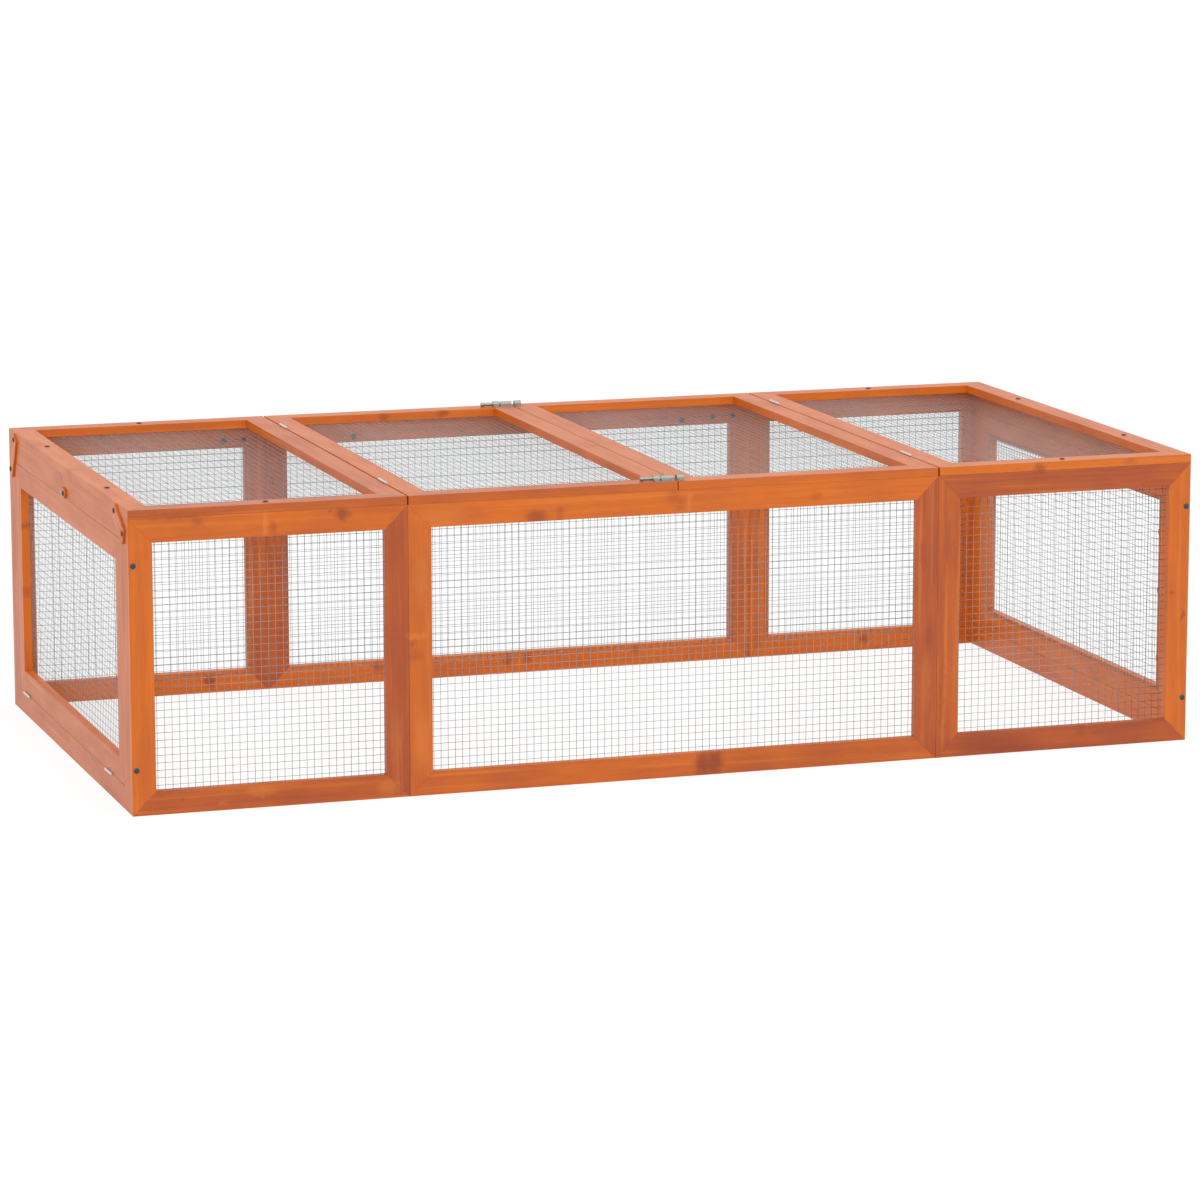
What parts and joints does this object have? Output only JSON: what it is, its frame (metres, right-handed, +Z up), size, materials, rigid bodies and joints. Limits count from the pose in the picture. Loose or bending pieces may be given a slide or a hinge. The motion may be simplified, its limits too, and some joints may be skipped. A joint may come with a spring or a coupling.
{
  "type": "outdoor rabbit run",
  "caption": "Low rectangular run for rabbits: mitred timber frames with square wire netting, hinged lids with barrel bolts and a drop-down door in each end.",
  "frame": {"origin": "centre of the run's footprint, on the ground", "axes": "+X along the run's length to the right, +Y from front to back, +Z up"},
  "size_m": [1.8126, 0.9164, 0.493],
  "materials": {
    "stained_boards": "orange-brown stain on planed softwood, satin",
    "stained_hardware_wood": "orange-brown stain on planed softwood, satin",
    "galvanised_netting": "hot-dip galvanised, dull",
    "zinc_hinges": "bright zinc plating",
    "bolt_steel": "zinc plating, satin",
    "dark_screws": "dark phosphate coating, satin"
  },
  "bodies": {
    "root": {"front_left_frame": "stained_boards", "front_middle_frame": "stained_boards", "front_right_frame": "stained_boards", "back_left_frame": "stained_boards", "back_middle_frame": "stained_boards", "back_right_frame": "stained_boards", "left_end_frame": "stained_boards", "right_end_frame": "stained_boards", "left_top_frame": "stained_boards", "right_top_frame": "stained_boards", "front_left_netting": "galvanised_netting", "front_middle_netting": "galvanised_netting", "front_right_netting": "galvanised_netting", "back_left_netting": "galvanised_netting", "back_middle_netting": "galvanised_netting", "back_right_netting": "galvanised_netting", "left_top_netting": "galvanised_netting", "right_top_netting": "galvanised_netting", "left_lid_hinge_fixed_leaves": "zinc_hinges", "left_lid_hinge_pins": "zinc_hinges", "right_lid_hinge_fixed_leaves": "zinc_hinges", "right_lid_hinge_pins": "zinc_hinges", "left_door_hinge_fixed_leaves": "zinc_hinges", "left_door_hinge_pins": "zinc_hinges", "right_door_hinge_fixed_leaves": "zinc_hinges", "right_door_hinge_pins": "zinc_hinges", "turn_button_screws": "dark_screws", "left_end_ties": "stained_hardware_wood", "right_end_ties": "stained_hardware_wood", "tie_screws": "dark_screws", "wall_screws": "dark_screws", "top_screws": "dark_screws"},
    "left_lid": {"left_lid_frame": "stained_boards", "left_lid_netting": "galvanised_netting", "left_lid_hinge_moving_leaves": "zinc_hinges", "front_bolt_barrel": "bolt_steel", "rear_bolt_barrel": "bolt_steel"},
    "right_lid": {"right_lid_frame": "stained_boards", "right_lid_netting": "galvanised_netting", "right_lid_hinge_moving_leaves": "zinc_hinges", "front_bolt_keeper": "bolt_steel", "rear_bolt_keeper": "bolt_steel"},
    "left_door": {"left_door_frame": "stained_boards", "left_door_netting": "galvanised_netting", "left_door_hinge_moving_leaves": "zinc_hinges"},
    "right_door": {"right_door_frame": "stained_boards", "right_door_netting": "galvanised_netting", "right_door_hinge_moving_leaves": "zinc_hinges"},
    "front_bolt": {"front_bolt_rod": "bolt_steel"},
    "rear_bolt": {"rear_bolt_rod": "bolt_steel"},
    "left_button": {"left_turn_button": "stained_hardware_wood"},
    "right_button": {"right_turn_button": "stained_hardware_wood"}
  },
  "joints": [
    {"name": "left_lid_hinge", "type": "hinge", "parent": "root", "child": "left_lid", "pos_m": [-0.45, 0, 0.48581], "axis": [0, -1, 0], "range_deg": [0, 175]},
    {"name": "right_lid_hinge", "type": "hinge", "parent": "root", "child": "right_lid", "pos_m": [0.45, 0, 0.48581], "axis": [0, 1, 0], "range_deg": [0, 175]},
    {"name": "left_door_hinge", "type": "hinge", "parent": "root", "child": "left_door", "pos_m": [-0.90181, 0, 0.0385], "axis": [0, -1, 0], "range_deg": [0, 95]},
    {"name": "right_door_hinge", "type": "hinge", "parent": "root", "child": "right_door", "pos_m": [0.90181, 0, 0.0385], "axis": [0, 1, 0], "range_deg": [0, 95]},
    {"name": "front_bolt_slide", "type": "slide", "parent": "left_lid", "child": "front_bolt", "axis": [1, 0, 0], "range_m": [0, 0.014]},
    {"name": "rear_bolt_slide", "type": "slide", "parent": "left_lid", "child": "rear_bolt", "axis": [1, 0, 0], "range_m": [0, 0.014]},
    {"name": "left_button_turn", "type": "hinge", "parent": "root", "child": "left_button", "pos_m": [-0.9021, 0, 0.441], "axis": [-1, 0, 0], "continuous": true},
    {"name": "right_button_turn", "type": "hinge", "parent": "root", "child": "right_button", "pos_m": [0.9021, 0, 0.441], "axis": [-1, 0, 0], "continuous": true}
  ]
}
